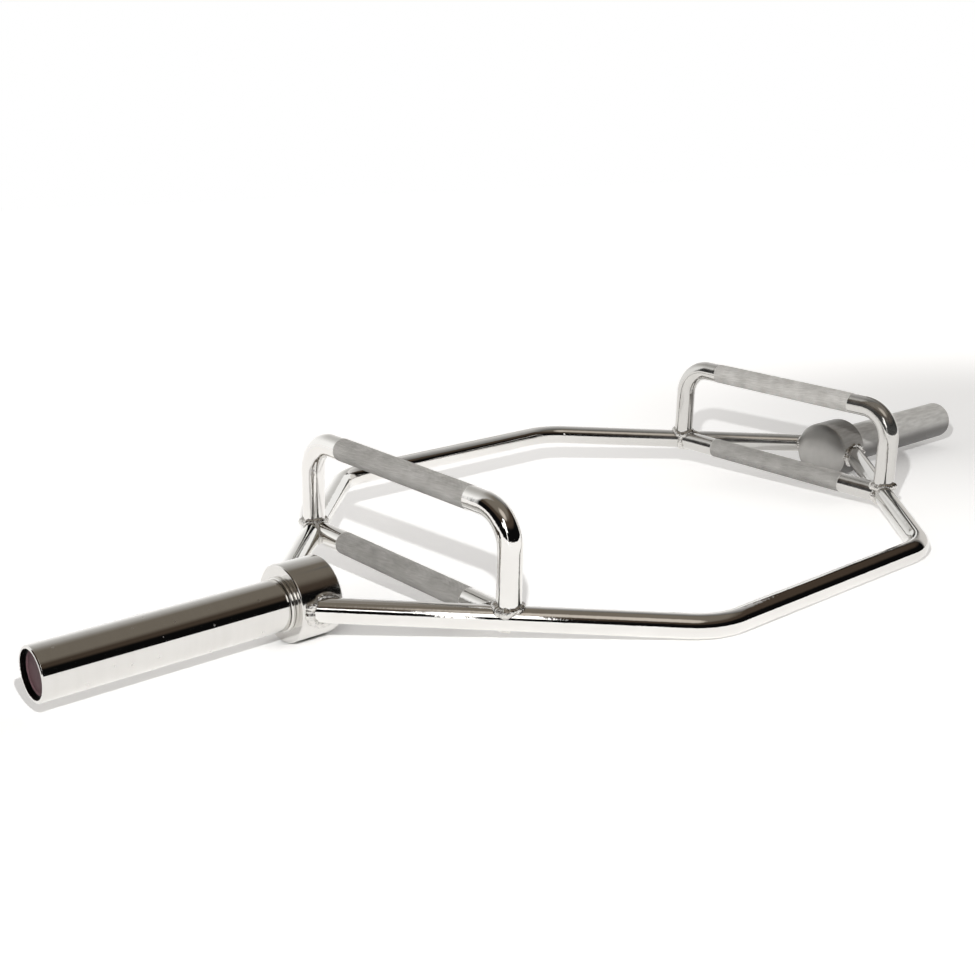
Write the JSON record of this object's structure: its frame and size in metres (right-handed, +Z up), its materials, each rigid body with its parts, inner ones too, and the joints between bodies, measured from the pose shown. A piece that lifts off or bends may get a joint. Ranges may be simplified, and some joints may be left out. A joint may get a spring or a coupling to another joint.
{
  "type": "hex trap bar",
  "caption": "Chrome-plated hexagon lifting bar: welded round-bar frame, knurled low and raised handles, and revolving plate sleeves on hubs.",
  "frame": {"origin": "on the floor, midway between the sleeves, under the hubs' axis", "axes": "+X along the sleeves, +Y to the rear frame bar, +Z up; the bar lies on both hubs and its front frame bar"},
  "size_m": [1.38, 0.6096, 0.1625],
  "materials": {
    "frame_chrome": "polished chrome plate on bent round bar",
    "hub_chrome": "polished chrome plate on a turned block",
    "handle_chrome": "chrome plate, knurled grips",
    "weld_chrome": "chrome plate over weld beads",
    "sleeve_chrome": "chrome plate on a turned tube",
    "washer_chrome": "chrome plate on a turned ring",
    "spindle_steel": "ground steel",
    "bush_bronze": "turned bearing bronze",
    "cap_plastic": "moulded, dark"
  },
  "bodies": {
    "frame": {"front_frame_bar": "frame_chrome", "rear_frame_bar": "frame_chrome", "left_hub": "hub_chrome", "left_lower_handle": "handle_chrome", "left_raised_handle": "handle_chrome", "left_hub_welds": "weld_chrome", "left_handle_welds": "weld_chrome", "left_post_welds": "weld_chrome", "left_spindle": "spindle_steel", "left_retaining_ring": "spindle_steel", "left_thrust_washer": "washer_chrome", "left_end_washer": "spindle_steel", "right_hub": "hub_chrome", "right_lower_handle": "handle_chrome", "right_raised_handle": "handle_chrome", "right_hub_welds": "weld_chrome", "right_handle_welds": "weld_chrome", "right_post_welds": "weld_chrome", "right_spindle": "spindle_steel", "right_retaining_ring": "spindle_steel", "right_thrust_washer": "washer_chrome", "right_end_washer": "spindle_steel"},
    "left_sleeve_unit": {"left_sleeve": "sleeve_chrome", "left_inner_bush": "bush_bronze", "left_outer_bush": "bush_bronze", "left_end_cap": "cap_plastic"},
    "right_sleeve_unit": {"right_sleeve": "sleeve_chrome", "right_inner_bush": "bush_bronze", "right_outer_bush": "bush_bronze", "right_end_cap": "cap_plastic"}
  },
  "joints": [
    {"name": "left_sleeve_spin", "type": "hinge", "parent": "frame", "child": "left_sleeve_unit", "pos_m": [-0.57, 0, 0.038], "axis": [1, 0, 0], "continuous": true},
    {"name": "right_sleeve_spin", "type": "hinge", "parent": "frame", "child": "right_sleeve_unit", "pos_m": [0.57, 0, 0.038], "axis": [1, 0, 0], "continuous": true}
  ]
}
